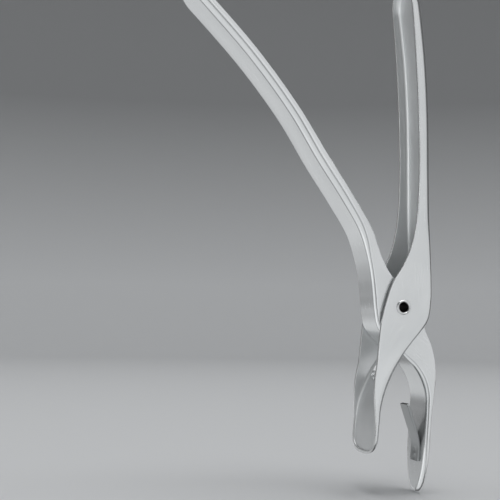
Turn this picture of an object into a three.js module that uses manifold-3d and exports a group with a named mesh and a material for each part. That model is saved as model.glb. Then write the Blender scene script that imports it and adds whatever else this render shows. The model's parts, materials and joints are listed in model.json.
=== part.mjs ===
// Bowl lifter: a plier-type gripper of pressed stainless steel, for lifting hot bowls and jars.
// Two channel-section levers cross on a hollow rivet. The outer lever carries the right handle and
// the short, wide left jaw. The inner lever carries the left handle, passes through a window in
// the outer lever's web, and carries the long right jaw with its grip tongue.
// Millimetres. +Z is up the handles, +Y is the pivot axis (away from the viewer's side).
import * as THREE from 'three';
import { mergeVertices } from 'three/addons/utils/BufferGeometryUtils.js';
import Module from 'manifold-3d';

const wasm = await Module();
wasm.setup();

// ---------------------------------------------------------------- driving dimensions
const SHEET = 1.2;            // thickness of both levers' sheet
const BEND = 1.5;             // outer radius of the bend between web and flange, where it is crisp
const SOFT_BEND = 2.4;        // the same on the handles, which are rounded for the hand
const OUTER_HALF = 11;        // half width of the outer lever's handle and cheeks, outside
const OUTER_JAW_HALF = 13;    // half width of the short jaw
const INNER_HALF = 8.8;       // half width of the inner lever between the outer cheeks
const INNER_HANDLE_HALF = 10.6; // half width of its handle, above the outer cheeks
const INNER_JAW_HALF = 9.5;   // half width of the long jaw
const ROW_STEP = 4;           // spacing of the sections along a lever
const TIP_ROWS = 7;           // sections round each lever end

const RIVET_HOLE = 2.1;       // radius of the hole right through the rivet
const RIVET_BARREL = 2.45;    // radius of its barrel
const RIVET_LIP = 3.0;        // radius of its rolled lip
const RIVET_PROUD = 0.9;      // how far the lip stands off the outer cheek
const RIVET_GAP = 0.1;        // gap between the lip and the cheek
const PIVOT_HOLE = 2.7;       // radius of the holes in the four cheeks
const CLEARANCE = 0.3;        // gap between pieces that touch
const ROUND = 40;             // sides of a round piece

const WASHER_RADIUS = 6;
const WASHER_THICK = 0.4;
const SLEEVE_RADIUS = 3.6;
const SPRING_WIRE = 0.6;      // radius of the spring wire
const SPRING_RADIUS = 4.9;    // mean radius of the coil
const SPRING_TURNS = 4;
const SPRING_PITCH = 1.7;
const OUTER_LEG = [[9.3, 27], [8.1, 19], [6.4, 9]];       // [x, z] down the outer handle's web
const INNER_LEG = [[-6.8, 8], [-9.7, 16], [-12.9, 24]];   // and up the inner handle's
const TONGUE_HALF = 3.9;
const TONGUE_THICK = 1.0;
const TONGUE_SIDE = -1.5;     // the tongue's middle, off the long jaw's middle line
const TONGUE_LINE = [[9.2, -63.5], [9.6, -57.5], [9, -53.4], [7.1, -47.6], [4.5, -39.9]];

const GRIP = { x: 11.7, z: 80 };   // where the palm holds the outer handle: the object's origin

// Each station of a lever is [web x, web z, free edge x, free edge z, half width, bend radius]:
// the outside of the web and the free edge of the flange beside it, both seen along the pivot
// axis. A station that gives no bend radius has the crisp one.
const OUTER_STATIONS = [
  [6.2, 139, 2, 138.5, OUTER_HALF, SOFT_BEND + 1],
  [7.9, 129.5, 3.6, 129.1, OUTER_HALF, SOFT_BEND + 1],
  [10.7, 105, 5.6, 104.8, OUTER_HALF, SOFT_BEND + 1],
  [12, 80, 6.8, 80, OUTER_HALF, SOFT_BEND + 1],
  [12.3, 55, 7.1, 55, OUTER_HALF, SOFT_BEND + 1],
  [12.4, 37, 6, 37, OUTER_HALF, SOFT_BEND + 0.6],
  [12.6, 26, 3.8, 26, OUTER_HALF, SOFT_BEND - 0.3],
  [12.8, 18, 0.4, 18, OUTER_HALF, SOFT_BEND - 0.6],
  [12.9, 10, -4.5, 10.2, OUTER_HALF],
  [12.8, 3, -7.2, 3, OUTER_HALF],
  [11.4, -5, -9.3, -5, OUTER_HALF],
  [8, -10.1, -10.2, -11.5, OUTER_HALF],
  [4.4, -14.3, -10.8, -17, OUTER_HALF],
  [0.4, -19.8, -11.4, -23, OUTER_HALF + 0.1, BEND + 0.6],
  [-3.9, -26.8, -12.5, -29, OUTER_HALF + 0.6, BEND + 1.2],
  [-7.4, -34, -13, -35.2, OUTER_HALF + 1.2, BEND + 1.1],
  [-9.7, -40.6, -12.9, -41.2, OUTER_HALF + 1.7, BEND + 0.5],
  [-10.7, -47, -12.7, -47.3, OUTER_JAW_HALF],
  [-11.3, -54, -13.1, -54.3, OUTER_JAW_HALF],
  [-11.8, -59.8, -13.5, -60.1, OUTER_JAW_HALF],
];
const INNER_STATIONS = [
  [-94.6, 129, -91.6, 131.9, INNER_HANDLE_HALF, SOFT_BEND + 0.2],
  [-83, 117.5, -79.9, 120.5, INNER_HANDLE_HALF, SOFT_BEND + 0.4],
  [-65.5, 99, -62.3, 101.9, INNER_HANDLE_HALF, SOFT_BEND + 0.4],
  [-48.6, 77.7, -45.2, 80.3, INNER_HANDLE_HALF, SOFT_BEND + 0.4],
  [-37, 59.5, -33.1, 61.9, INNER_HANDLE_HALF, SOFT_BEND + 0.4],
  [-25.8, 43.1, -21.6, 44.8, INNER_HANDLE_HALF, SOFT_BEND + 0.4],
  [-18.2, 30.7, -13.3, 31.7, INNER_HANDLE_HALF - 0.6, SOFT_BEND],
  [-14.6, 20, -8.5, 20, INNER_HALF + 0.3],
  [-13, 12, -3.4, 12.2, INNER_HALF],
  [-12.2, 5, 3.8, 8.6, INNER_HALF],
  [-11.6, -1.3, 8.4, 3.6, INNER_HALF],
  [-9.9, -8.8, 9.5, -3.6, INNER_HALF],
  [-3.6, -15.9, 10.9, -9.6, INNER_HALF],
  [1.5, -20.2, 13.3, -15, INNER_HALF],
  [6, -24.4, 14.9, -21, INNER_HALF, BEND + 0.3],
  [9.4, -29.8, 15.3, -27.8, INNER_HALF + 0.3, BEND + 0.5],
  [11.2, -36, 14.5, -35.4, INNER_JAW_HALF - 0.2, BEND + 0.2],
  [11.2, -42, 13.5, -41.9, INNER_JAW_HALF],
  [10.6, -51, 12.7, -51, INNER_JAW_HALF],
  [9.9, -62, 12, -62, INNER_JAW_HALF],
  [9.1, -76.4, 10.9, -76.4, INNER_JAW_HALF],
];

// Lever ends in plan are superellipses: length along the lever, and the power that squares them.
const OUTER_ENDS = [{ length: OUTER_HALF, power: 2 }, { length: 8, power: 2.8 }];
const INNER_ENDS = [{ length: INNER_HANDLE_HALF, power: 2 }, { length: 21, power: 2.1 }];

// The window in the outer lever's web, as distances along the web from the handle's end.
const WINDOW = { half: 9.35, top: 138.5, bottom: 175.2, topRound: 2, bottomRound: 6 };

// ---------------------------------------------------------------- rails: a lever's run
// Turns stations into a function of the distance s along the web. It gives the web's point p,
// the direction e from web to free edge, the flange depth, the half width, the bend radius, and
// lean, by which a height square to the web is stretched when it is measured along e.
function rails(stations) {
  const SAMPLES = 400;
  const webPoint = ([x, z, , , half]) => new THREE.Vector3(x, half, z);
  const edgePoint = ([, , x, z, , bend = BEND]) => new THREE.Vector3(x, bend, z);
  const webCurve = new THREE.CatmullRomCurve3(stations.map(webPoint));
  const edgeCurve = new THREE.CatmullRomCurve3(stations.map(edgePoint));
  const flat = (v) => new THREE.Vector2(v.x, v.z);
  const runs = [0];
  for (let i = 1; i <= SAMPLES; i += 1) {
    const step = flat(webCurve.getPoint(i / SAMPLES)).distanceTo(flat(webCurve.getPoint((i - 1) / SAMPLES)));
    runs.push(runs[i - 1] + step);
  }
  const length = runs[SAMPLES];
  const share = (s) => {
    const i = Math.min(SAMPLES, Math.max(1, runs.findIndex((run) => run >= Math.min(s, length))));
    return (i - 1 + (s - runs[i - 1]) / (runs[i] - runs[i - 1])) / SAMPLES;
  };
  const at = (s) => {
    const t = Math.min(1, Math.max(0, share(s)));
    const web = webCurve.getPoint(t);
    const edge = edgeCurve.getPoint(t);
    const across = flat(edge).sub(flat(web));
    const tangent = flat(webCurve.getTangent(t));
    const e = across.clone().normalize();
    const square = Math.abs(e.x * tangent.y - e.y * tangent.x) / tangent.length();
    return { p: flat(web), e, depth: across.length(), half: web.y, bend: edge.y, lean: 1 / square };
  };
  return { at, length };
}

// Sections round one lever end, from its straight sides (0) to its very tip (1).
// way is -1 at the start of the run and +1 at its end.
function endRows(run, end, way) {
  const rows = [];
  for (let i = 0; i <= TIP_ROWS; i += 1) {
    const turn = (Math.PI / 2) * (i / TIP_ROWS);
    const along = end.length * Math.sin(turn) ** (2 / end.power);
    const start = way < 0 ? end.length : run.length - end.length;
    const s = start + way * along;
    const side = run.at(s).half;
    const half = i === TIP_ROWS ? 0 : side * Math.cos(turn) ** (2 / end.power);
    const normal = new THREE.Vector2(
      (along / end.length) ** (end.power - 1) / end.length,
      (half / side) ** (end.power - 1) / side,
    ).normalize();
    rows.push({ s, half, ns: way * normal.x, ny: normal.y });
  }
  return way < 0 ? rows.reverse() : rows;
}

function leverRows(run, ends) {
  const rows = endRows(run, ends[0], -1);
  const from = ends[0].length;
  const to = run.length - ends[1].length;
  const count = Math.round((to - from) / ROW_STEP);
  for (let i = 1; i < count; i += 1) {
    const s = from + ((to - from) * i) / count;
    rows.push({ s, half: run.at(s).half, ns: 0, ny: 1 });
  }
  return rows.concat(endRows(run, ends[1], 1));
}

// One skin of a section, from the near free edge round to the far one. A point is set in from
// the lever's outline by inset and stands off the web by height.
function skin(run, row, inset) {
  const FLANGE_STEPS = 2;
  const BEND_STEPS = 3;
  const WEB_STEPS = 2;
  const { bend } = run.at(row.s);
  const radius = bend - inset;
  const side = [];
  const place = (sign, inward, height, alongEdge) => {
    const q = run.at(row.s - inward * row.ns);
    const rise = alongEdge ? q.depth * height : q.lean * height;
    const y = sign * Math.max(0, row.half - inward * row.ny);
    return new THREE.Vector3(q.p.x + q.e.x * rise, y, q.p.y + q.e.y * rise);
  };
  for (let i = 0; i < FLANGE_STEPS; i += 1) {
    const q = run.at(row.s - inset * row.ns);
    const foot = Math.min(1, (bend * q.lean) / q.depth);
    const share = 1 - (1 - foot) * (i / FLANGE_STEPS);
    side.push((sign) => place(sign, inset, share, true));
  }
  for (let i = 0; i <= BEND_STEPS; i += 1) {
    const turn = (Math.PI / 2) * (i / BEND_STEPS);
    const inward = bend - radius * Math.cos(turn);
    const height = bend - radius * Math.sin(turn);
    side.push((sign) => place(sign, inward, height, false));
  }
  const near = side.map((point) => point(-1));
  const far = side.map((point) => point(1)).reverse();
  const web = [];
  for (let i = 1; i < WEB_STEPS; i += 1) {
    web.push(near.at(-1).clone().lerp(far[0], i / WEB_STEPS));
  }
  return near.concat(web, far);
}

// ---------------------------------------------------------------- solids
function solidFromRings(rings, capped) {
  const size = rings[0].length;
  const position = rings.flat().flatMap((v) => [v.x, v.y, v.z]);
  const index = [];
  for (let r = 0; r + 1 < rings.length; r += 1) {
    for (let i = 0; i < size; i += 1) {
      const j = (i + 1) % size;
      const [a, b] = [r * size + i, r * size + j];
      index.push(a, b, b + size, a, b + size, a + size);
    }
  }
  if (capped) {
    const last = (rings.length - 1) * size;
    for (let i = 1; i + 1 < size; i += 1) {
      index.push(0, i + 1, i, last, last + i, last + i + 1);
    }
  }
  const geometry = new THREE.BufferGeometry();
  geometry.setAttribute('position', new THREE.Float32BufferAttribute(position, 3));
  geometry.setIndex(index);
  return manifoldOf(geometry);
}

// Merges a closed mesh's vertices, drops triangles that have closed up, and turns it outwards.
function manifoldOf(geometry) {
  const bare = geometry.clone();
  bare.deleteAttribute('normal');
  bare.deleteAttribute('uv');
  const merged = mergeVertices(bare, 1e-4);
  const p = merged.attributes.position.array;
  const triangles = [];
  let volume = 0;
  for (let i = 0; i < merged.index.count; i += 3) {
    const [a, b, c] = merged.index.array.slice(i, i + 3);
    if (a === b || b === c || c === a) continue;
    triangles.push(a, b, c);
    const [va, vb, vc] = [a, b, c].map((k) => new THREE.Vector3(p[3 * k], p[3 * k + 1], p[3 * k + 2]));
    volume += va.dot(vb.cross(vc));
  }
  if (volume < 0) triangles.reverse();
  return new wasm.Manifold(new wasm.Mesh({
    numProp: 3,
    vertProperties: new Float32Array(p),
    triVerts: new Uint32Array(triangles),
  }));
}

function geometryOf(solid) {
  const mesh = solid.getMesh();
  const geometry = new THREE.BufferGeometry();
  geometry.setAttribute('position', new THREE.Float32BufferAttribute(mesh.vertProperties, 3));
  geometry.setIndex(new THREE.BufferAttribute(mesh.triVerts, 1));
  geometry.computeVertexNormals();
  return geometry;
}

// A lever pressed from sheet: the outer skin round one way and the inner skin back the other.
function channel(run, ends) {
  const rings = leverRows(run, ends).map((row) => skin(run, row, 0).concat(skin(run, row, SHEET).reverse()));
  return solidFromRings(rings, false);
}

function pivotHole() {
  return manifoldOf(new THREE.CylinderGeometry(PIVOT_HOLE, PIVOT_HOLE, 4 * OUTER_HALF, ROUND));
}

// The cutter for the window: it follows the web, and its ends are rounded in plan.
function windowCutter(run) {
  const ROWS = 28;
  const UNDER = -1;
  const OVER = SHEET + 2;
  const rings = [];
  for (let i = 0; i <= ROWS; i += 1) {
    const s = WINDOW.top + ((WINDOW.bottom - WINDOW.top) * i) / ROWS;
    const q = run.at(s);
    const intoTop = Math.max(0, 1 - (s - WINDOW.top) / WINDOW.topRound);
    const intoBottom = Math.max(0, 1 - (WINDOW.bottom - s) / WINDOW.bottomRound);
    const round = Math.max(0.05, 1 - Math.max(intoTop, intoBottom) ** 3);
    const y = WINDOW.half * round ** (1 / 3);
    const corner = (side, h) => {
      const rise = h * q.lean;
      return new THREE.Vector3(q.p.x + q.e.x * rise, side * y, q.p.y + q.e.y * rise);
    };
    rings.push([corner(-1, UNDER), corner(1, UNDER), corner(1, OVER), corner(-1, OVER)]);
  }
  return solidFromRings(rings, true);
}

function outerLever() {
  const run = rails(OUTER_STATIONS);
  return geometryOf(channel(run, OUTER_ENDS).subtract(windowCutter(run)).subtract(pivotHole()));
}

function innerLever() {
  return geometryOf(channel(rails(INNER_STATIONS), INNER_ENDS).subtract(pivotHole()));
}

// ---------------------------------------------------------------- the pivot's pieces
const turned = (profile) => new THREE.LatheGeometry(profile.map(([r, y]) => new THREE.Vector2(r, y)), ROUND);

// A hollow rivet: a thin tube whose two ends are rolled outwards over the cheeks. The lip's
// section is rounded by small steps in from its rim, its top and its bore.
function pivotRivet() {
  const under = OUTER_HALF + RIVET_GAP;
  const top = OUTER_HALF + RIVET_PROUD;
  const end = [
    [RIVET_BARREL, under],
    [RIVET_LIP, under],
    [RIVET_LIP + 0.1, under + 0.4],
    [RIVET_LIP - 0.1, top - 0.15],
    [RIVET_LIP - 0.4, top],
    [RIVET_HOLE + 0.25, top - 0.1],
    [RIVET_HOLE, top - 0.45],
  ];
  const mirrored = end.map(([r, y]) => [r, -y]).reverse();
  return turned([...end, ...mirrored, end[0]]);
}

function ring(inside, outside, low, high) {
  return turned([[inside, low], [outside, low], [outside, high], [inside, high], [inside, low]]);
}

function spacerSleeve() {
  const half = INNER_HALF - SHEET - CLEARANCE;
  return ring(PIVOT_HOLE, SLEEVE_RADIUS, -half, half);
}

function washer(side) {
  const near = side * (INNER_HALF + CLEARANCE);
  const far = side * (INNER_HALF + CLEARANCE + WASHER_THICK);
  return ring(PIVOT_HOLE, WASHER_RADIUS, Math.min(near, far), Math.max(near, far));
}

// The torsion spring: a leg down from the outer handle's web, the coil, and a leg up to the
// inner handle's web. The coil winds along the pivot axis.
class SpringPath extends THREE.Curve {
  constructor() {
    super();
    const points = [];
    const halfCoil = (SPRING_TURNS * SPRING_PITCH) / 2;
    const STEPS_PER_TURN = 16;
    const wound = (2 * SPRING_TURNS + 1) * Math.PI;
    for (const [x, z] of OUTER_LEG) points.push(new THREE.Vector3(x, -halfCoil, z));
    const steps = Math.round((STEPS_PER_TURN * wound) / (2 * Math.PI));
    for (let i = 0; i <= steps; i += 1) {
      const turn = (-wound * i) / steps;
      const y = -halfCoil + (2 * halfCoil * i) / steps;
      points.push(new THREE.Vector3(SPRING_RADIUS * Math.cos(turn), y, SPRING_RADIUS * Math.sin(turn)));
    }
    for (const [x, z] of INNER_LEG) points.push(new THREE.Vector3(x, halfCoil, z));
    this.line = new THREE.CatmullRomCurve3(points);
  }

  getPoint(t, target = new THREE.Vector3()) {
    return target.copy(this.line.getPointAt(t));
  }
}

function torsionSpring() {
  const SIDES = 8;
  const section = new THREE.Shape();
  for (let i = 0; i < SIDES; i += 1) {
    const turn = (2 * Math.PI * i) / SIDES;
    const place = [SPRING_WIRE * Math.cos(turn), SPRING_WIRE * Math.sin(turn)];
    if (i === 0) section.moveTo(...place);
    else section.lineTo(...place);
  }
  return new THREE.ExtrudeGeometry(section, { steps: 120, extrudePath: new SpringPath(), curveSegments: 1 });
}

// ---------------------------------------------------------------- the grip tongue
// A leaf welded to the long jaw's inner face by its foot; the blade rises clear of the jaw.
function gripTongue() {
  const STEPS = 20;
  const line = new THREE.CatmullRomCurve3(TONGUE_LINE.map(([x, z]) => new THREE.Vector3(x, z, 0)));
  const left = [];
  const right = [];
  for (let i = 0; i <= STEPS; i += 1) {
    const p = line.getPointAt(i / STEPS);
    const t = line.getTangentAt(i / STEPS);
    left.push(new THREE.Vector2(p.x - (t.y * TONGUE_THICK) / 2, p.y + (t.x * TONGUE_THICK) / 2));
    right.push(new THREE.Vector2(p.x + (t.y * TONGUE_THICK) / 2, p.y - (t.x * TONGUE_THICK) / 2));
  }
  const strip = new THREE.ExtrudeGeometry(new THREE.Shape(left.concat(right.reverse())), {
    depth: 2 * TONGUE_HALF,
    bevelEnabled: false,
  });
  strip.rotateX(Math.PI / 2);
  strip.translate(0, TONGUE_HALF + TONGUE_SIDE, 0);
  return strip;
}

// ---------------------------------------------------------------- the assembly
const satin = (color, roughness) => new THREE.MeshStandardMaterial({ color, roughness, metalness: 0.95 });

function mesh(name, geometry, material) {
  const made = new THREE.Mesh(geometry, material);
  made.name = name;
  return made;
}

const lifter = new THREE.Group();
lifter.add(mesh('outer_lever', outerLever(), satin(0xc7cacb, 0.3)));
lifter.add(mesh('inner_lever', innerLever(), satin(0xc2c5c6, 0.3)));
lifter.add(mesh('grip_tongue', gripTongue(), satin(0xb9bcbe, 0.32)));
lifter.add(mesh('pivot_rivet', pivotRivet(), satin(0xd2d4d4, 0.25)));
lifter.add(mesh('spacer_sleeve', spacerSleeve(), satin(0x9a9d9f, 0.4)));
lifter.add(mesh('near_washer', washer(-1), satin(0xb4b7b8, 0.35)));
lifter.add(mesh('far_washer', washer(1), satin(0xb4b7b8, 0.35)));
lifter.add(mesh('torsion_spring', torsionSpring(), satin(0x8f9294, 0.35)));
lifter.position.set(-GRIP.x, 0, -GRIP.z);

export default lifter;
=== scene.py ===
# %% [markdown]
# # A sprung bowl lifter in pressed stainless steel
#
# Two levers are pressed from sheet, crossed, and held by a hollow rivet. This file builds the
# fine surfaces of each piece around the fixed frame, which gives every place and joint.
# Lengths inside the shape functions are millimetres from the pivot, because that is how a
# toolmaker would draw the levers; they become metres in the frame when a mesh is made.

# %% Load the frame
import json

import bmesh
import bpy
import numpy as np
from mathutils import Matrix, Vector


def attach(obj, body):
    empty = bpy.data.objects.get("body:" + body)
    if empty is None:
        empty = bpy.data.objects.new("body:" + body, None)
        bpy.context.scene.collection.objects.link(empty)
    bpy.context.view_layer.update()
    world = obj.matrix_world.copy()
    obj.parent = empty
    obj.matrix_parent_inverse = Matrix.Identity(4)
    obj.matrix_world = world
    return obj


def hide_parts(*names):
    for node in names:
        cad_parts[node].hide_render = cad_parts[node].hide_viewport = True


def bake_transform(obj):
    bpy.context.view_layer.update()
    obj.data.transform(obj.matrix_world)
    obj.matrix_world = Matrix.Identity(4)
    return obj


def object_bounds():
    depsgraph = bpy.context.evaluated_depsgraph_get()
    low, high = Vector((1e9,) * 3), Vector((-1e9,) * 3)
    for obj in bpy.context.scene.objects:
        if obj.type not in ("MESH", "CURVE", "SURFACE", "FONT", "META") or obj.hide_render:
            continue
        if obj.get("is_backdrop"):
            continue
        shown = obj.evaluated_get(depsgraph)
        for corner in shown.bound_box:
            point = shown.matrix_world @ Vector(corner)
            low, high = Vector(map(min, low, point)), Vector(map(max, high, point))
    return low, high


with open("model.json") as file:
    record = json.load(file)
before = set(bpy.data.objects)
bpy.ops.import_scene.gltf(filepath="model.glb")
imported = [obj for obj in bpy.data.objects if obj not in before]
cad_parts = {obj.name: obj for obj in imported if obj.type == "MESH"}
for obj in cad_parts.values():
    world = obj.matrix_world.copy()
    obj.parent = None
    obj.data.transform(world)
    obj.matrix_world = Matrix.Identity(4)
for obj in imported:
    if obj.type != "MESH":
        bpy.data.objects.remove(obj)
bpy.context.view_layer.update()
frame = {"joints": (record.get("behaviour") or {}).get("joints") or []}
HINGE = frame["joints"][0]
PIVOT = np.array(HINGE["pos_m"], float)
MM = 0.001
print("pivot at", PIVOT.round(4), "turning", HINGE["range_deg"], "degrees")

# %% [markdown]
# ## The camera
#
# The tool is looked at from low on its left, square enough to read the cheeks, and far enough
# away that the two sides of each channel stay nearly parallel. The camera aims at a point
# between the handles and the jaws, so the handle ends leave the view at the top.

# %% Camera
VIEW_AZIMUTH = -14.65
VIEW_ELEVATION = -4.0
VIEW_ROLL = 0.74
VIEW_DISTANCE = 414.0
VIEW_TARGET = (-62.65, 0.0, 22.45)
LENS = 73.2


def direction(azimuth, elevation):
    """The unit vector from the target towards a camera at these angles, in degrees."""
    a, e = np.radians([azimuth, elevation])
    return np.array([np.sin(a) * np.cos(e), -np.cos(a) * np.cos(e), np.sin(e)])


def make_camera():
    """A camera on the view direction, rolled about its own axis."""
    data = bpy.data.cameras.new("view")
    data.lens = LENS
    data.clip_start = 0.01
    camera = bpy.data.objects.new("view", data)
    bpy.context.scene.collection.objects.link(camera)
    back = direction(VIEW_AZIMUTH, VIEW_ELEVATION)
    place = PIVOT + MM * (np.array(VIEW_TARGET) + VIEW_DISTANCE * back)
    aim = (-Vector(back)).to_track_quat("-Z", "Y").to_matrix().to_4x4()
    roll = Matrix.Rotation(np.radians(VIEW_ROLL), 4, "Z")
    camera.matrix_world = Matrix.Translation(place) @ aim @ roll
    bpy.context.scene.camera = camera
    return camera


camera = make_camera()
print("camera at", [round(v, 3) for v in camera.location])

# %% [markdown]
# ## Finishes
#
# All the pieces are steel, so the finishes differ mostly in polish. Some colours carry painted
# light: the tongue and the rivet's bore are darkened as painted shade, and the sheared edges are
# lightened as a painted highlight. Node maths is easier to read as Python: `Socket` wraps a
# node's output and turns `+ - *` into Math nodes, and `Nodes.node` makes any other node from its
# type, its settings and its inputs.


# %% Node helpers
class Socket:
    """A node output that can be used in an expression."""

    def __init__(self, tree, out):
        self.tree, self.out = tree, out

    def maths(self, operation, left, right):
        node = self.tree.nodes.new("ShaderNodeMath")
        node.operation = operation
        for place, value in zip(node.inputs, (left, right)):
            if isinstance(value, Socket):
                self.tree.links.new(value.out, place)
            else:
                place.default_value = value
        return Socket(self.tree, node.outputs[0])

    def __add__(self, other):
        return self.maths("ADD", self, other)

    def __mul__(self, other):
        return self.maths("MULTIPLY", self, other)

    def __sub__(self, other):
        return self.maths("SUBTRACT", self, other)

    def __rsub__(self, other):
        return self.maths("SUBTRACT", other, self)

    __radd__ = __add__
    __rmul__ = __mul__


class Nodes:
    """A node tree under construction."""

    def __init__(self, tree):
        self.tree = tree

    def node(self, kind, settings=(), values=(), out=0, **inputs):
        """Makes a node: settings are its properties, and inputs its values or links.

        The setting "stops" fills a colour ramp. Inputs that share a name are given in order, as
        values. An underscore in an input's name stands for a space.
        """
        made = self.tree.nodes.new("ShaderNode" + kind)
        for name, value in dict(settings).items():
            if name == "stops":
                self.set_stops(made.color_ramp.elements, value)
            else:
                setattr(made, name, value)
        for place, value in zip(made.inputs, values):
            self.fill(place, value)
        for name, value in inputs.items():
            self.fill(made.inputs[name.replace("_", " ")], value)
        return Socket(self.tree, made.outputs[out])

    def fill(self, place, value):
        if isinstance(value, Socket):
            self.tree.links.new(value.out, place)
        else:
            place.default_value = value

    def set_stops(self, elements, stops):
        while len(elements) < len(stops):
            elements.new(0.5)
        for element, (position, value) in zip(elements, stops):
            element.position = position
            colour = (value,) * 3 if np.isscalar(value) else value
            element.color = (*colour, 1)

    def ramp(self, factor, stops):
        """A colour ramp through (position, grey or colour) stops."""
        return self.node("ValToRGB", {"stops": stops}, [factor])


class Finish(Nodes):
    """A material under construction: one Principled shader and the nodes that feed it."""

    def __init__(self, name, **constants):
        self.material = bpy.data.materials.new(name)
        self.material.use_nodes = True
        super().__init__(self.material.node_tree)
        self.shader = self.tree.nodes["Principled BSDF"]
        for socket, value in constants.items():
            self.shader.inputs[socket.replace("_", " ")].default_value = value

    def feed(self, socket, source):
        self.tree.links.new(source.out, self.shader.inputs[socket])
        return self

    def bump(self, height, strength, distance):
        normal = self.node("Bump", Strength=strength, Distance=distance, Height=height)
        return self.feed("Normal", normal)


print("node helpers ready")

# %% [markdown]
# ### Satin stainless sheet
#
# The sheet is polished along the strip before it is pressed, so its grain runs the length of
# each lever and is far finer than it is long. UV holds millimetres: across the sheet in U and
# along the lever in V. Three things vary: the grain, a slow cloudiness left by the polishing
# mop, and a few hairline scratches from use. The mop hardly reaches the inside of a channel, so
# the sheet is rougher there.

# %% Steel finishes
CLOUDS = (0.055, 0.03)
GRAIN = (6.0, 0.10)
SCRATCHES = (2.6, 0.035)
GRAIN_DEPTH = 0.02 * MM
STEEL_GREYS = ((0.72, 0.735, 0.74), (0.82, 0.83, 0.83))
# Painted shade: the tongue's greys are the sheet's greys darkened for the shade between the jaws.
TONGUE_PAINTED_SHADE_GREYS = ((0.32, 0.335, 0.34), (0.42, 0.43, 0.43))


def uv_noise(finish, size, **settings):
    """Noise on the UV map, whose size is in turns per millimetre across and along the sheet."""
    place = finish.node("Mapping", Vector=finish.node("TexCoord", out=2), Scale=(*size, 1))
    return finish.node("TexNoise", Vector=place, Scale=1.0, **settings)


def satin_steel(name, greys, polish, grain):
    """Satin sheet: cloudy grey between two greys, long grain, and hairline scratches.

    Polish is the lowest and highest roughness. Noise keeps near its middle, so its shares of the
    spread add up to more than one, and an offset brings the whole back down.
    """
    finish = Finish(name, Metallic=0.9)
    clouds = uv_noise(finish, CLOUDS, Detail=3.0, Roughness=0.55)
    strokes = uv_noise(finish, GRAIN, Detail=4.0, Roughness=0.6)
    bands = uv_noise(finish, SCRATCHES, Detail=1.0, Distortion=0.25)
    scratches = finish.ramp(bands, [(0.69, 0.0), (0.72, 1.0), (0.75, 0.0)])
    tone = clouds * 0.7 + strokes * 0.3
    finish.feed("Base Color", finish.ramp(tone, [(0.3, greys[0]), (0.7, greys[1])]))
    low, spread = polish[0], polish[1] - polish[0]
    roughness = clouds * (1.4 * spread) + strokes * (0.5 * spread) + scratches * 0.06
    finish.feed("Roughness", roughness + (low - 0.45 * spread))
    finish.bump(strokes - scratches * 0.6, grain, GRAIN_DEPTH)
    return finish.material


lever_satin = satin_steel("lever satin", STEEL_GREYS, (0.19, 0.27), 0.20)
lever_inside = satin_steel("lever inside", STEEL_GREYS, (0.36, 0.46), 0.20)
# The tongue's satin carries painted shade in its darker greys.
tongue_satin_painted_shade = satin_steel("tongue satin painted shade", TONGUE_PAINTED_SHADE_GREYS, (0.26, 0.36), 0.25)


def plain_steel(name, colour, low, high, size):
    """Turned or drawn steel: a constant colour whose polish varies over patches of that size."""
    finish = Finish(name, Metallic=1.0)
    place = finish.node("TexCoord", out=3)
    patches = finish.node("TexNoise", Vector=place, Scale=1 / (size * MM), Detail=2.0)
    dark, light = (tuple(c * k for c in colour) for k in (0.9, 1.08))
    finish.feed("Base Color", finish.ramp(patches, [(0.35, dark), (0.65, light)]))
    finish.feed("Roughness", patches * (high - low) + low)
    return finish.material


# Painted highlight: the sheared edges are coloured lighter than the sheet to draw bright edge
# lines; their lower roughness is their own polish.
sheared_edge_painted_highlight = plain_steel("sheared edge", (0.88, 0.89, 0.89), 0.12, 0.24, 4)
rivet_polish = plain_steel("rivet polish", (0.74, 0.75, 0.75), 0.22, 0.34, 3)
# Painted shade: the bore is steel, coloured nearly black for the shade inside the narrow tube.
rivet_bore_painted_shade = plain_steel("rivet bore painted shade", (0.10, 0.10, 0.105), 0.42, 0.55, 2)
turned_steel = plain_steel("turned steel", (0.62, 0.63, 0.64), 0.25, 0.40, 2)
spring_wire = plain_steel("spring wire", (0.45, 0.46, 0.47), 0.22, 0.36, 1.5)
print("finishes:", len(bpy.data.materials))

# %% [markdown]
# ## Lines and grids
#
# A lever's run is a list of stations read off the side view: the outside of the web, the free
# edge of the flange beside it, and half the width. A centripetal Catmull-Rom curve passes
# through them all and doesn't overshoot where they are close together.


# %% Curves
CRISP_BEND = 1.5
SOFT_BEND = 2.4


def smooth_line(points, share):
    """Points on the centripetal Catmull-Rom curve through points, at shares 0 to 1 of its run.

    Each span is a cubic Hermite piece. Its end slopes weigh the neighbouring chords by the
    square root of their lengths. The end points are mirrored to give the missing neighbours.
    """
    p = np.asarray(points, float)
    p = np.vstack([2 * p[0] - p[1], p, 2 * p[-1] - p[-2]])
    knots = np.sqrt(np.linalg.norm(np.diff(p, axis=0), axis=1))
    at = np.clip(np.asarray(share, float), 0, 1) * (len(p) - 3)
    i = np.minimum(at.astype(int), len(p) - 4)
    t = (at - i)[..., None]
    a, b, c, d = p[i], p[i + 1], p[i + 2], p[i + 3]
    ka, kb, kc = (knots[i + k][..., None] for k in range(3))
    start = ((b - a) / ka - (c - a) / (ka + kb) + (c - b) / kb) * kb
    end = ((c - b) / kb - (d - b) / (kb + kc) + (d - c) / kc) * kb
    cubic = 2 * b - 2 * c + start + end
    square = -3 * b + 3 * c - 2 * start - end
    return b + t * (start + t * (square + t * cubic))


def ease(value, low, high):
    """0 below low, 1 above high, and a smooth S between them."""
    t = np.clip((value - low) / (high - low), 0, 1)
    return t * t * (3 - 2 * t)


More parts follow.
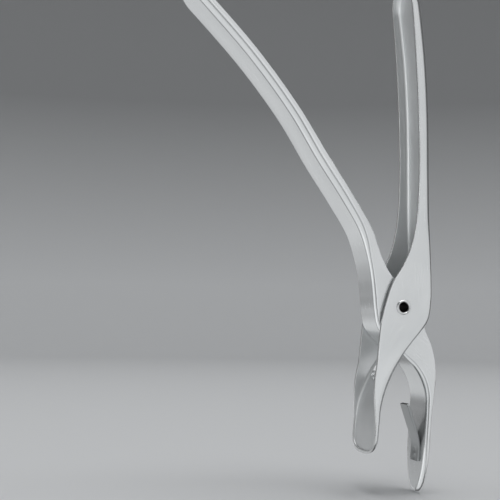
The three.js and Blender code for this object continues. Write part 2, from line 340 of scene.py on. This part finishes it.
class Run:
    """A lever's stations as functions of the distance along its web.

    A station is (web x, web z, edge x, edge z, half width, bend radius).
    """

    SAMPLES = 1600

    def __init__(self, stations):
        full = [station if len(station) == 6 else (*station, CRISP_BEND) for station in stations]
        stations = np.array(full, float)
        share = np.linspace(0, 1, self.SAMPLES)
        web = smooth_line(stations[:, [0, 4, 1]], share)
        edge = smooth_line(stations[:, [2, 5, 3]], share)
        self.web, self.half, self.bend = web[:, [0, 2]], web[:, 1], edge[:, 1]
        across = edge[:, [0, 2]] - self.web
        self.depth = np.linalg.norm(across, axis=1)
        self.rise = across / self.depth[:, None]
        step = np.linalg.norm(np.diff(self.web, axis=0), axis=1)
        self.s = np.concatenate([[0], np.cumsum(step)])
        self.length = self.s[-1]
        tangent = np.gradient(self.web, self.s, axis=0)
        square = np.abs(self.rise[:, 0] * tangent[:, 1] - self.rise[:, 1] * tangent[:, 0])
        self.lean = 1 / square

    def at(self, s, name):
        """The web, rise, depth, half, bend or lean at distances s."""
        table = getattr(self, name)
        if table.ndim == 1:
            return np.interp(s, self.s, table)
        return np.stack([np.interp(s, self.s, column) for column in table.T], -1)


print("top of a curve over a hump:", smooth_line([(0, 0), (1, 1), (2, 0)], [0.5])[0])

# %% [markdown]
# ### From arrays to meshes
#
# A grid of points becomes quads by numbering its corners. Blender then only has to merge points
# that meet, round the sharp edges, and thicken the one piece that is a plain leaf.

# %% Meshes
def to_frame(points):
    """Millimetres from the pivot to metres in the frame."""
    return PIVOT + MM * np.asarray(points, float)


def make_mesh(name, points, faces, uv=None):
    """A mesh from points (n, 3) in millimetres and quads or triangles, smooth shaded."""
    mesh = bpy.data.meshes.new(name)
    mesh.from_pydata(to_frame(points), [], faces.tolist())
    if uv is not None:
        layer = mesh.uv_layers.new(name="UVMap")
        corner = np.empty(len(mesh.loops), np.int32)
        mesh.loops.foreach_get("vertex_index", corner)
        layer.data.foreach_set("uv", uv[corner].astype(np.float32).ravel())
    mesh.shade_smooth()
    piece = bpy.data.objects.new(name, mesh)
    bpy.context.scene.collection.objects.link(piece)
    return piece


def grid_faces(rows, columns, close_rows=False, close_columns=False):
    """Quads of a grid whose points run along a row first; either way may close on itself."""
    number = np.arange(rows * columns).reshape(rows, columns)
    if close_rows:
        number = np.vstack([number, number[:1]])
    if close_columns:
        number = np.hstack([number, number[:, :1]])
    a, b = number[:-1, :-1], number[:-1, 1:]
    c, d = number[1:, 1:], number[1:, :-1]
    return np.stack([a, b, c, d], -1).reshape(-1, 4)


def weld(piece, distance=0.004):
    """Merges points closer than distance millimetres and drops what has closed up."""
    work = bmesh.new()
    work.from_mesh(piece.data)
    bmesh.ops.remove_doubles(work, verts=work.verts, dist=distance * MM)
    work.to_mesh(piece.data)
    work.free()


def dress(piece, *materials):
    for material in materials:
        piece.data.materials.append(material)
    return piece


def bevel(piece, width, segments=2, angle=50):
    """Rounds every edge that turns more than angle degrees."""
    modifier = piece.modifiers.new("edge", "BEVEL")
    modifier.width = width * MM
    modifier.segments = segments
    modifier.limit_method = "ANGLE"
    modifier.angle_limit = np.radians(angle)
    modifier.use_clamp_overlap = False
    flatten = piece.modifiers.new("shade", "WEIGHTED_NORMAL")
    flatten.keep_sharp = True
    return piece


def thicken(piece, thickness):
    """Gives a leaf its thickness behind its outer face."""
    modifier = piece.modifiers.new("sheet", "SOLIDIFY")
    modifier.thickness = thickness * MM
    modifier.offset = -1
    modifier.use_even_offset = True
    modifier.use_quality_normals = True
    return piece


print("the pivot in the frame:", to_frame((0, 0, 0)))

# %% [markdown]
# ## A pressed channel
#
# Each lever is one sheet: a web with a flange down both sides, which also runs round both
# ends. The surface is a grid. A row is a place along the lever's outline, and a column a place
# across the sheet, from one free edge, down the flange, round the bend, over the web and up
# the other side. Round an end the rows fan out, so that the flange follows the rounded plan.
# The inner skin is the same grid set in by the sheet's thickness. Solidify could make it, but
# it tangles where a bend is hardly wider than the sheet is thick. A strip then joins the two
# skins along every edge that is left open: the free edges, the window and the pivot holes.

# %% Channel
SHEET = 1.2
ROW_STEP = 0.8
TIP_ROWS = 22
FLANGE_COLUMNS = 20
BEND_COLUMNS = 8
WEB_COLUMNS = 24
CROWN = 0.25
CROWN_REACH = 1.5


def tip_rows(run, end, way):
    """Rows round one end: a superellipse in plan, from its sides to its tip.

    Along is length * sin(turn) ** (2 / power), and half is side * cos(turn) ** (2 / power).
    """
    length, power = end
    turn = np.linspace(0, np.pi / 2, TIP_ROWS)
    along = length * np.sin(turn) ** (2 / power)
    s = (length if way < 0 else run.length - length) + way * along
    side = run.at(s, "half")
    half = side * np.cos(turn) ** (2 / power)
    half[-1] = 0
    ns = (along / length) ** (power - 1) / length
    ny = (half / side) ** (power - 1) / side
    size = np.hypot(ns, ny)
    rows = np.stack([s, half, way * ns / size, ny / size], -1)
    return rows[::-1] if way < 0 else rows


def lever_rows(run, ends):
    first, last = tip_rows(run, ends[0], -1), tip_rows(run, ends[1], 1)
    count = int((last[0, 0] - first[-1, 0]) / ROW_STEP)
    s = np.linspace(first[-1, 0], last[0, 0], count)[1:-1]
    middle = np.stack([s, run.at(s, "half"), np.zeros_like(s), np.ones_like(s)], -1)
    return np.vstack([first, middle, last])


def crown(s):
    """How far the web bulges: CROWN along the handle, and nothing at its end or at the joint."""
    return CROWN * ease(s, 6, 20) * (1 - ease(s, 95, 120))


def skin(run, rows, inset):
    """One skin of the channel, as points (row, column, 3), with each point's run s and width y.

    A flange point stands share * depth off the web, for share from 1 at the free edge. A bend
    point has turned by phi: it is set in by bend - (bend - inset) cos(phi) and stands off by
    bend - (bend - inset) sin(phi). A web point at fraction f of the width lies
    crown * (1 - f ** 2) outside the flat, and the crown fades where an end narrows.
    """
    s, half, ns, ny = (column[:, None] for column in rows.T)
    bend = run.at(s, "bend")
    wall = s - inset * ns
    foot = np.minimum(1, bend * run.at(wall, "lean") / run.at(wall, "depth"))
    share = 1 - (1 - foot) * np.linspace(0, 1, FLANGE_COLUMNS, endpoint=False)[None]
    phi = np.linspace(0, np.pi / 2, BEND_COLUMNS + 1)[None]
    f = np.linspace(-1, 1, WEB_COLUMNS + 1)[None, 1:-1]
    at_flange, at_bend, at_web = (0 * s + 0 * part for part in (share, phi, f))
    turned_in = bend - (bend - inset) * np.cos(phi)
    flange_in = at_flange + inset
    inward = np.hstack([flange_in, turned_in, at_web + bend, turned_in[:, ::-1], flange_in])
    place = s - inward * ns
    turned_off = (bend - (bend - inset) * np.sin(phi)) * run.at(s - turned_in * ns, "lean")
    on_flange = share * run.at(wall, "depth")
    fade = np.minimum(1, half / run.at(s, "half") * CROWN_REACH)
    level = inset - crown(s) * (1 - f**2) * fade
    on_web = level * run.at(s - bend * ns, "lean")
    height = np.hstack([on_flange, turned_off, on_web, turned_off[:, ::-1], on_flange[:, ::-1]])
    side = np.hstack([at_flange - 1, at_bend - 1, at_web + f, at_bend + 1, at_flange + 1])
    y = np.maximum(0, half - inward * ny) * side
    points = run.at(place, "web") + run.at(place, "rise") * height[..., None]
    return np.stack([points[..., 0], y, points[..., 1]], -1), place, y


def across_sheet(grid):
    """Distance along each row from the middle of the web, for U."""
    step = np.linalg.norm(np.diff(grid, axis=1), axis=2)
    run = np.hstack([np.zeros((len(grid), 1)), np.cumsum(step, axis=1)])
    return run - run[:, run.shape[1] // 2, None]


def open_edges(faces, skip):
    """Directed edges (from, to) of quads that have no neighbour, apart from those in skip."""
    edges = np.concatenate([np.stack([faces[:, k], faces[:, (k + 1) % 4]], -1) for k in range(4)])
    span = faces.max() + 1
    forward = edges[:, 0] * span + edges[:, 1]
    backward = edges[:, 1] * span + edges[:, 0]
    lonely = ~np.isin(forward, backward)
    return edges[lonely & ~(skip[edges[:, 0]] & skip[edges[:, 1]])]


def on_circle(points, faces, radius):
    """Opens a round hole about the pivot axis: which faces go, after the rim is snapped to it."""
    centre = points[faces].mean(axis=1)
    gone = np.hypot(centre[:, 0], centre[:, 2]) < radius
    rim = np.intersect1d(faces[gone].ravel(), faces[~gone].ravel())
    flat = points[rim][:, [0, 2]]
    flat *= radius / np.linalg.norm(flat, axis=1)[:, None]
    points[rim, 0], points[rim, 2] = flat[:, 0], flat[:, 1]
    return gone


def pressed_lever(name, stations, ends, flip, opening=None):
    """Both skins of a lever, its openings, and the strips that close its sheared edges.

    The inner skin gets the second material and the strips the third. flip turns the faces
    outwards on a lever whose flanges stand to the other side of its run.
    """
    run = Run(stations)
    rows = lever_rows(run, ends)
    outside, s, y = skin(run, rows, 0)
    inside = skin(run, rows, SHEET)[0]
    faces = grid_faces(*s.shape)
    skins = [outside.reshape(-1, 3), inside.reshape(-1, 3)]
    gone = np.zeros(len(faces), bool)
    if opening is not None:
        gone, rim, new_s, new_y = opening(s.ravel(), y.ravel(), faces)
        for points, inset in zip(skins, (0, SHEET)):
            height = inset * run.at(new_s, "lean")
            place = run.at(new_s, "web") + run.at(new_s, "rise") * height[:, None]
            points[rim] = np.stack([place[:, 0], new_y, place[:, 1]], -1)
    gone |= on_circle(skins[0], faces, PIVOT_HOLE)
    on_circle(skins[1], faces, PIVOT_HOLE)
    faces = faces[~gone]
    count = s.size
    folded = np.zeros(s.shape, bool)
    folded[[0, -1]] = True
    rims = open_edges(faces, folded.ravel())
    strips = np.stack([rims[:, 1], rims[:, 0], rims[:, 0] + count, rims[:, 1] + count], -1)
    everything = np.vstack([faces, faces[:, ::-1] + count, strips])
    if flip:
        everything = everything[:, ::-1]
    uv = np.stack([across_sheet(outside).ravel(), s.ravel()], -1)
    piece = make_mesh(name, np.vstack(skins), everything, np.vstack([uv, uv]))
    slots = np.zeros(len(everything), np.int32)
    slots[len(faces):] = 1
    slots[2 * len(faces):] = 2
    piece.data.polygons.foreach_set("material_index", slots)
    weld(piece)
    return piece


print("points across a sheet:", 2 * (FLANGE_COLUMNS + BEND_COLUMNS + 1) + WEB_COLUMNS - 1)

# %% [markdown]
# ## The outer lever
#
# Its handle is at the right, its cheeks cover the joint, and its short jaw is wide and nearly
# square at the bottom. The web has a window where the inner lever passes. The grid's faces in
# the window are dropped, and the vertices left on its rim slide onto the true outline.

# %% Outer lever
OUTER_HALF = 11.0
OUTER_JAW_HALF = 13.0
PIVOT_HOLE = 2.7
OUTER_STATIONS = [
    (6.2, 139, 2, 138.5, OUTER_HALF, SOFT_BEND + 1),
    (7.9, 129.5, 3.6, 129.1, OUTER_HALF, SOFT_BEND + 1),
    (10.7, 105, 5.6, 104.8, OUTER_HALF, SOFT_BEND + 1),
    (12, 80, 6.8, 80, OUTER_HALF, SOFT_BEND + 1),
    (12.3, 55, 7.1, 55, OUTER_HALF, SOFT_BEND + 1),
    (12.4, 37, 6, 37, OUTER_HALF, SOFT_BEND + 0.6),
    (12.6, 26, 3.8, 26, OUTER_HALF, SOFT_BEND - 0.3),
    (12.8, 18, 0.4, 18, OUTER_HALF, SOFT_BEND - 0.6),
    (12.9, 10, -4.5, 10.2, OUTER_HALF),
    (12.8, 3, -7.2, 3, OUTER_HALF),
    (11.4, -5, -9.3, -5, OUTER_HALF),
    (8, -10.1, -10.2, -11.5, OUTER_HALF),
    (4.4, -14.3, -10.8, -17, OUTER_HALF),
    (0.4, -19.8, -11.4, -23, OUTER_HALF + 0.1, CRISP_BEND + 0.6),
    (-3.9, -26.8, -12.5, -29, OUTER_HALF + 0.6, CRISP_BEND + 1.2),
    (-7.4, -34, -13, -35.2, OUTER_HALF + 1.2, CRISP_BEND + 1.1),
    (-9.7, -40.6, -12.9, -41.2, OUTER_HALF + 1.7, CRISP_BEND + 0.5),
    (-10.7, -47, -12.7, -47.3, OUTER_JAW_HALF),
    (-11.3, -54, -13.1, -54.3, OUTER_JAW_HALF),
    (-11.8, -59.8, -13.5, -60.1, OUTER_JAW_HALF),
]
OUTER_ENDS = [(OUTER_HALF, 2.0), (8.0, 2.8)]
WINDOW_TOP = 138.5
WINDOW_BOTTOM = 175.2
WINDOW_HALF = 9.5
WINDOW_POWER = 3.0
TOP_ROUND = 2.5
BOTTOM_ROUND = 6.0
SIDES_TOP = WINDOW_TOP + TOP_ROUND
SIDES_BOTTOM = WINDOW_BOTTOM - BOTTOM_ROUND
OUTER_FLIP = True


def window_scale(s, y):
    """How far (s, y) lies out from the window's middle line, where 1 is on its outline.

    Beyond the straight sides the outline is a superellipse about the end of the sides.
    """
    above, below = (SIDES_TOP - s) / TOP_ROUND, (s - SIDES_BOTTOM) / BOTTOM_ROUND
    past = np.maximum(0, np.where(s < SIDES_TOP, above, below))
    return (past**WINDOW_POWER + np.abs(y / WINDOW_HALF) ** WINDOW_POWER) ** (1 / WINDOW_POWER)


def window(s, y, faces):
    """The faces in the window, the points left on its rim, and where they slide to."""
    middle_s, middle_y = s[faces].mean(axis=1), y[faces].mean(axis=1)
    gone = (window_scale(middle_s, middle_y) < 1) & (np.abs(middle_y) < WINDOW_HALF)
    rim = np.intersect1d(faces[gone].ravel(), faces[~gone].ravel())
    centre = np.clip(s[rim], SIDES_TOP, SIDES_BOTTOM)
    out = 1 / np.maximum(window_scale(s[rim], y[rim]), 1e-6)
    in_end = (s[rim] < SIDES_TOP) | (s[rim] > SIDES_BOTTOM)
    straight = np.sign(y[rim]) * WINDOW_HALF
    new_s = np.where(in_end, centre + (s[rim] - centre) * out, s[rim])
    new_y = np.where(in_end, y[rim] * out, straight)
    return gone, rim, new_s, new_y


outer = pressed_lever("outer_lever_sheet", OUTER_STATIONS, OUTER_ENDS, OUTER_FLIP, window)
print("outer lever, straight from the grid:", len(outer.data.vertices), "points")

# %% [markdown]
# ### Finishing a lever
#
# Shearing leaves a smoother edge, and tumbling takes its corner off. A narrow bevel does that
# on every sharp edge at once, and gives the thin highlight that makes a sheet look thick. The
# edge strips are also coloured lighter than the sheet, as a painted highlight.

# %% Finish the outer lever
EDGE_ROUND = 0.16


def finish_lever(piece, body, node):
    """Rounds the sheared edges and puts the piece in place of its CAD node."""
    dress(piece, lever_satin, lever_inside, sheared_edge_painted_highlight)
    bevel(piece, EDGE_ROUND)
    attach(piece, body)
    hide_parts(node)
    print(piece.name, len(piece.data.polygons), "faces")
    return piece


finish_lever(outer, "outer_body", "outer_lever")

# %% [markdown]
# ## The inner lever
#
# The same channel, narrower between the outer cheeks and open to the other side. Its web is
# unbroken: it leaves the left handle, turns under the rivet and becomes the long jaw, whose
# tip is a long half ellipse with a low lip all round.

# %% Inner lever
INNER_HALF = 8.8
INNER_HANDLE_HALF = 10.6
INNER_JAW_HALF = 9.5
INNER_STATIONS = [
    (-94.6, 129, -91.6, 131.9, INNER_HANDLE_HALF, SOFT_BEND + 0.2),
    (-83, 117.5, -79.9, 120.5, INNER_HANDLE_HALF, SOFT_BEND + 0.4),
    (-65.5, 99, -62.3, 101.9, INNER_HANDLE_HALF, SOFT_BEND + 0.4),
    (-48.6, 77.7, -45.2, 80.3, INNER_HANDLE_HALF, SOFT_BEND + 0.4),
    (-37, 59.5, -33.1, 61.9, INNER_HANDLE_HALF, SOFT_BEND + 0.4),
    (-25.8, 43.1, -21.6, 44.8, INNER_HANDLE_HALF, SOFT_BEND + 0.4),
    (-18.2, 30.7, -13.3, 31.7, INNER_HANDLE_HALF - 0.6, SOFT_BEND),
    (-14.6, 20, -8.5, 20, INNER_HALF + 0.3),
    (-13, 12, -3.4, 12.2, INNER_HALF),
    (-12.2, 5, 3.8, 8.6, INNER_HALF),
    (-11.6, -1.3, 8.4, 3.6, INNER_HALF),
    (-9.9, -8.8, 9.5, -3.6, INNER_HALF),
    (-3.6, -15.9, 10.9, -9.6, INNER_HALF),
    (1.5, -20.2, 13.3, -15, INNER_HALF),
    (6, -24.4, 14.9, -21, INNER_HALF, CRISP_BEND + 0.3),
    (9.4, -29.8, 15.3, -27.8, INNER_HALF + 0.3, CRISP_BEND + 0.5),
    (11.2, -36, 14.5, -35.4, INNER_JAW_HALF - 0.2, CRISP_BEND + 0.2),
    (11.2, -42, 13.5, -41.9, INNER_JAW_HALF),
    (10.6, -51, 12.7, -51, INNER_JAW_HALF),
    (9.9, -62, 12, -62, INNER_JAW_HALF),
    (9.1, -76.4, 10.9, -76.4, INNER_JAW_HALF),
]
INNER_ENDS = [(INNER_HANDLE_HALF, 2.0), (21.0, 2.1)]

inner = pressed_lever("inner_lever_sheet", INNER_STATIONS, INNER_ENDS, False)
finish_lever(inner, "inner_body", "inner_lever")

# %% [markdown]
# ## Turned pieces
#
# The rivet, the sleeve and the washers are round about the pivot, so each is a profile of
# radius and width swept round it. The rivet's lip is rolled: its section is a half round that
# starts inside the bore and ends on the cheek.


# %% Lathe
ROUND_SIDES = 96


def lathe(name, profile):
    """Sweeps a closed profile of (radius, y) round the pivot axis: x = r cos, z = r sin."""
    profile = np.asarray(profile, float)
    turn = np.linspace(0, 2 * np.pi, ROUND_SIDES, endpoint=False)[:, None]
    r, y = profile[None, :, 0], profile[None, :, 1]
    points = np.stack([r * np.cos(turn), y + 0 * turn, r * np.sin(turn)], -1)
    faces = grid_faces(ROUND_SIDES, len(profile), close_rows=True, close_columns=True)
    return make_mesh(name, points.reshape(-1, 3), faces)


def arc(centre, radius, start, stop, steps):
    """Points on an arc in the (radius, y) plane, between angles in degrees."""
    turn = np.radians(np.linspace(start, stop, steps))
    return np.stack([np.cos(turn), np.sin(turn)], -1) * radius + centre


BORE = 2.1
BARREL = 2.45
LIP_OUT = 3.0
LIP_RISE = 0.42
LIP_STAND = 0.06
LIP_BASE = 0.2


def rivet():
    """A thin tube with both ends rolled outwards; each lip is a low half ellipse."""
    under = OUTER_HALF + LIP_STAND
    middle = ((BORE + LIP_OUT) / 2, under + LIP_BASE)
    size = ((LIP_OUT - BORE) / 2, LIP_RISE)
    lip = arc(middle, size, 0, 180, 15)
    foot = [(BARREL, under), (LIP_OUT - 0.12, under), (LIP_OUT - 0.02, under + 0.08)]
    inner_end = [(BORE, under - 0.3)]
    half = np.vstack([foot, lip, inner_end])
    profile = np.vstack([half, half[::-1] * (1, -1)])
    piece = dress(lathe("hollow_rivet", profile), rivet_polish, rivet_bore_painted_shade)
    slots = np.zeros((ROUND_SIDES, len(profile)), np.int32)
    # The bore's faces take the nearly black finish, which is painted shade.
    slots[:, len(half) - 1] = 1
    piece.data.polygons.foreach_set("material_index", slots.ravel())
    return piece


pin = rivet()
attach(pin, "outer_body")
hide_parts("pivot_rivet")


SLEEVE = {"outside": 3.6, "half": 7.3, "chamfer": 0.2}
WASHER = {"outside": 6.0, "low": 9.1, "high": 9.5, "chamfer": 0.08}


def turned_ring(name, node, outside, low, high, chamfer):
    """A ring over the rivet, with chamfered outer corners."""
    profile = [
        (PIVOT_HOLE, low),
        (outside - chamfer, low),
        (outside, low + chamfer),
        (outside, high - chamfer),
        (outside - chamfer, high),
        (PIVOT_HOLE, high),
    ]
    piece = dress(lathe(name, profile), turned_steel)
    bevel(piece, 0.04, 2, 35)
    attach(piece, "outer_body")
    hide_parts(node)
    return piece


half, wide = SLEEVE["half"], WASHER["outside"]
turned_ring("sleeve", "spacer_sleeve", SLEEVE["outside"], -half, half, SLEEVE["chamfer"])
low, high, chamfer = WASHER["low"], WASHER["high"], WASHER["chamfer"]
turned_ring("washer_near", "near_washer", wide, -high, -low, chamfer)
turned_ring("washer_far", "far_washer", wide, low, high, chamfer)
print("rivet over the lips:", round(1000 * pin.dimensions.y, 2), "mm")

# %% [markdown]
# ## The torsion spring
#
# Round wire wound on the sleeve, with a leg along each handle's web. It is a circle swept
# along the wire's line, and it stays fixed in the frame, bound to neither lever.

# %% Spring
WIRE = 0.6
COIL = 4.9
TURNS = 4
PITCH = 1.7
OUTER_LEG = [(9.3, 27), (8.1, 19), (6.4, 9)]
INNER_LEG = [(-6.8, 8), (-9.7, 16), (-12.9, 24)]
LINE_POINTS = 620


def spring_line():
    """The wire's centre line: a leg, TURNS and a half turns of helix, and the other leg."""
    half = TURNS * PITCH / 2
    turn = -np.linspace(0, (TURNS + 0.5) * 2 * np.pi, 16 * TURNS + 9)
    y = np.linspace(-half, half, len(turn))
    coil = np.stack([COIL * np.cos(turn), y, COIL * np.sin(turn)], -1)
    first = [(x, -half, z) for x, z in OUTER_LEG]
    last = [(x, half, z) for x, z in INNER_LEG]
    return smooth_line(np.vstack([first, coil, last]), np.linspace(0, 1, LINE_POINTS))


def tube(name, line, radius, sides=14):
    """A circle swept along a line, with domed ends closed by a last small ring.

    Each ring is set out on the tangent crossed with the pivot axis, and on the tangent crossed
    with that. The axis is tipped a little, so that the wire never runs along it.
    """
    tangent = np.gradient(line, axis=0)
    tangent /= np.linalg.norm(tangent, axis=1)[:, None]
    side = np.cross(tangent, (0, 1, 0.02))
    side /= np.linalg.norm(side, axis=1)[:, None]
    other = np.cross(tangent, side)
    turn = np.linspace(0, 2 * np.pi, sides, endpoint=False)[None, :, None]
    ring = np.cos(turn) * side[:, None] + np.sin(turn) * other[:, None]
    size = np.full(len(line), radius)
    size[[0, -1]] = 0.001
    size[[1, -2]] = 0.85 * radius
    points = line[:, None] + ring * size[:, None, None]
    return make_mesh(name, points.reshape(-1, 3), grid_faces(len(line), sides, close_columns=True))


spring = dress(tube("torsion_spring_wire", spring_line(), WIRE), spring_wire)
weld(spring, 0.01)
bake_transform(spring)
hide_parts("torsion_spring")
print("spring:", len(spring.data.polygons), "faces")

# %% [markdown]
# ## The grip tongue
#
# A leaf of the same steel, welded by its foot to the long jaw's inner face, and coloured darker
# than the sheet as painted shade. Its blade stands off the jaw and presses a bowl's wall against
# the short jaw. The corners of its tip are rounded, and two round weld marks show on its foot.

# %% Tongue
TONGUE_HALF = 3.9
TONGUE_SHEET = 1.0
TONGUE_CORNER = 1.2
TONGUE_SIDE = -1.5
TONGUE_LINE = [(9.2, -63.5), (9.6, -57.5), (9.0, -53.4), (7.1, -47.6), (4.5, -39.9)]
WELD_HEIGHTS = [-59.2, -61.9]
WELD_RADIUS = 1.2
WELD_DEPTH = 0.22


def tongue():
    """A strip along TONGUE_LINE. Each row narrows by a corner arc near both ends.

    A weld mark is a flat-bottomed dent: depth * exp(-(distance / radius) ** 4).
    """
    rows, columns = 90, 22
    share = (1 - np.cos(np.linspace(0, np.pi, rows))) / 2
    line = smooth_line(TONGUE_LINE, share)
    step = np.linalg.norm(np.diff(line, axis=0), axis=1)
    s = np.concatenate([[0], np.cumsum(step)])
    near_end = np.minimum(s, s[-1] - s)
    gap = np.clip(1 - near_end / TONGUE_CORNER, 0, 1)
    half = TONGUE_HALF - TONGUE_CORNER * (1 - np.sqrt(1 - gap**2))
    tangent = np.gradient(line, s, axis=0)
    tangent /= np.linalg.norm(tangent, axis=1)[:, None]
    normal = np.stack([-tangent[:, 1], tangent[:, 0]], -1)
    f = np.linspace(-1, 1, columns)[None]
    y = half[:, None] * f
    lift = np.full_like(y, TONGUE_SHEET / 2)
    for z in WELD_HEIGHTS:
        distance = np.hypot(line[:, 1, None] - z, y)
        lift -= WELD_DEPTH * np.exp(-((distance / WELD_RADIUS) ** 4))
    place = line[:, None] + normal[:, None] * lift[..., None]
    points = np.stack([place[..., 0], y + TONGUE_SIDE, place[..., 1]], -1)
    uv = np.stack([y, s[:, None] + 0 * y], -1).reshape(-1, 2)
    faces = grid_faces(rows, columns)[:, ::-1]
    return make_mesh("tongue_leaf", points.reshape(-1, 3), faces, uv)


# The tongue is dressed in the satin that is darkened as painted shade.
leaf = dress(tongue(), tongue_satin_painted_shade)
thicken(leaf, TONGUE_SHEET)
bevel(leaf, 0.18)
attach(leaf, "inner_body")
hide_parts("grip_tongue")
print("tongue:", len(leaf.data.polygons), "faces")

# %% [markdown]
# ## Floor and light
#
# A plain pale floor under the long jaw's tip sweeps up all round like a shallow dish, so it
# has no far edge. Polished steel shows what is round it, so each light matters more as a shape
# to reflect than as light. The lights are large and weak, with dark gaps between them, because
# a dark gap is what draws the edge of a shiny piece. The floor is kept out of the reflections
# for the same reason. The sweep's colour darkens up the wall as painted shade, so bright steel
# stands out from it.

# %% Sweep
FLOOR_GAP = 0.0004
SWEEP_FLAT = 1.5
SWEEP_RADIUS = 1.1
SWEEP_START = 0.02
# Painted shade: the sweep is pale on the floor and darker up the wall.
WALL_PAINTED_SHADE_GREYS = [(0.0, (0.62, 0.63, 0.64)), (0.55, (0.26, 0.265, 0.27))]


def sweep():
    """A flat disc whose rim turns up through a quarter circle and goes on as a wall.

    The profile's radius and height are flat + R sin(t) and R (1 - cos(t)), for t to 90
    degrees, and it is swept round the vertical axis.
    """
    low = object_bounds()[0].z - FLOOR_GAP
    flat = np.linspace(SWEEP_START, SWEEP_FLAT, 24)
    bend = np.linspace(0, np.pi / 2, 25)[1:]
    wall = SWEEP_RADIUS * np.array([1.6, 3])
    out = SWEEP_FLAT + SWEEP_RADIUS
    r = np.concatenate([flat, SWEEP_FLAT + SWEEP_RADIUS * np.sin(bend), [out, out]])
    z = np.concatenate([0 * flat, SWEEP_RADIUS * (1 - np.cos(bend)), wall])
    turn = np.linspace(0, 2 * np.pi, ROUND_SIDES, endpoint=False)[:, None]
    points = np.stack([r * np.cos(turn), r * np.sin(turn), low + z + 0 * turn], -1)
    faces = grid_faces(ROUND_SIDES, len(r), close_rows=True).tolist()
    faces.append([k * len(r) for k in range(ROUND_SIDES)])
    mesh = bpy.data.meshes.new("floor")
    mesh.from_pydata(points.reshape(-1, 3), [], faces)
    mesh.shade_smooth()
    made = bpy.data.objects.new("floor", mesh)
    bpy.context.scene.collection.objects.link(made)
    paint = Finish("pale floor", Roughness=0.6)
    height = paint.node("SeparateXYZ", out=2, Vector=paint.node("TexCoord", out=3))
    # The colour darkens with height, as painted shade up the wall.
    paint.feed("Base Color", paint.ramp(height, WALL_PAINTED_SHADE_GREYS))
    mesh.materials.append(paint.material)
    made.visible_glossy = False
    made.visible_shadow = False
    made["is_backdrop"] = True
    return low


print("floor at", round(sweep(), 4), "m")

# %% [markdown]
# ### The lights
#
# Most of the light is painted on the world as soft round glows, placed where each face of the
# tool looks. One broad panel overhead gives the soft shadow under the jaw.

# %% Lights
def panel(name, azimuth, elevation, distance, size, radiance):
    """A soft panel facing the pivot, whose face glows with that radiance.

    A flat light of power P and area A has radiance P / (pi A).
    """
    data = bpy.data.lights.new(name, "AREA")
    data.shape = "RECTANGLE"
    data.size, data.size_y = size
    data.energy = radiance * np.pi * size[0] * size[1]
    lamp = bpy.data.objects.new(name, data)
    bpy.context.scene.collection.objects.link(lamp)
    back = direction(azimuth, elevation)
    lamp.location = PIVOT + distance * back
    lamp.rotation_euler = (-Vector(back)).to_track_quat("-Z", "Y").to_euler()
    lamp.visible_camera = False


GLOWS = [
    (36, 6, 30, 58, 0.66),
    (4, 4, 7, 17, 0.30),
    (206, 15, 20, 42, 0.13),
    (255, 2, 18, 42, 0.48),
    (293, 22, 12, 30, 0.30),
    (292, -44, 34, 62, 0.75),
    (194, -20, 9, 23, 0.55),
    (0, 88, 20, 50, 0.50),
]


def room(base, glows):
    """A dim room with soft glows at (azimuth, elevation, inner, outer, radiance).

    A glow is full within its inner angle, and fades smoothly to nothing at its outer one.
    """
    world = bpy.data.worlds.new("studio")
    world.use_nodes = True
    nodes = Nodes(world.node_tree)
    way = nodes.node("TexCoord")
    level = base
    for azimuth, elevation, inner, outer, radiance in glows:
        aim = [way, direction(azimuth, elevation)]
        near = nodes.node(
            "MapRange",
            {"interpolation_type": "SMOOTHSTEP"},
            Value=nodes.node("VectorMath", {"operation": "DOT_PRODUCT"}, aim, out=1),
            From_Min=np.cos(np.radians(outer)),
            From_Max=np.cos(np.radians(inner)),
        )
        level = near * radiance + level
    background = nodes.tree.nodes["Background"]
    background.inputs[0].default_value = (0.97, 0.985, 1.0, 1)
    nodes.fill(background.inputs[1], level)
    bpy.context.scene.world = world


room(0.06, GLOWS)
panel("top", 20, 85, 2.2, (1.8, 1.8), 3.4)
bpy.context.scene.view_settings.view_transform = "Standard"
print(len(GLOWS), "glows and a panel")
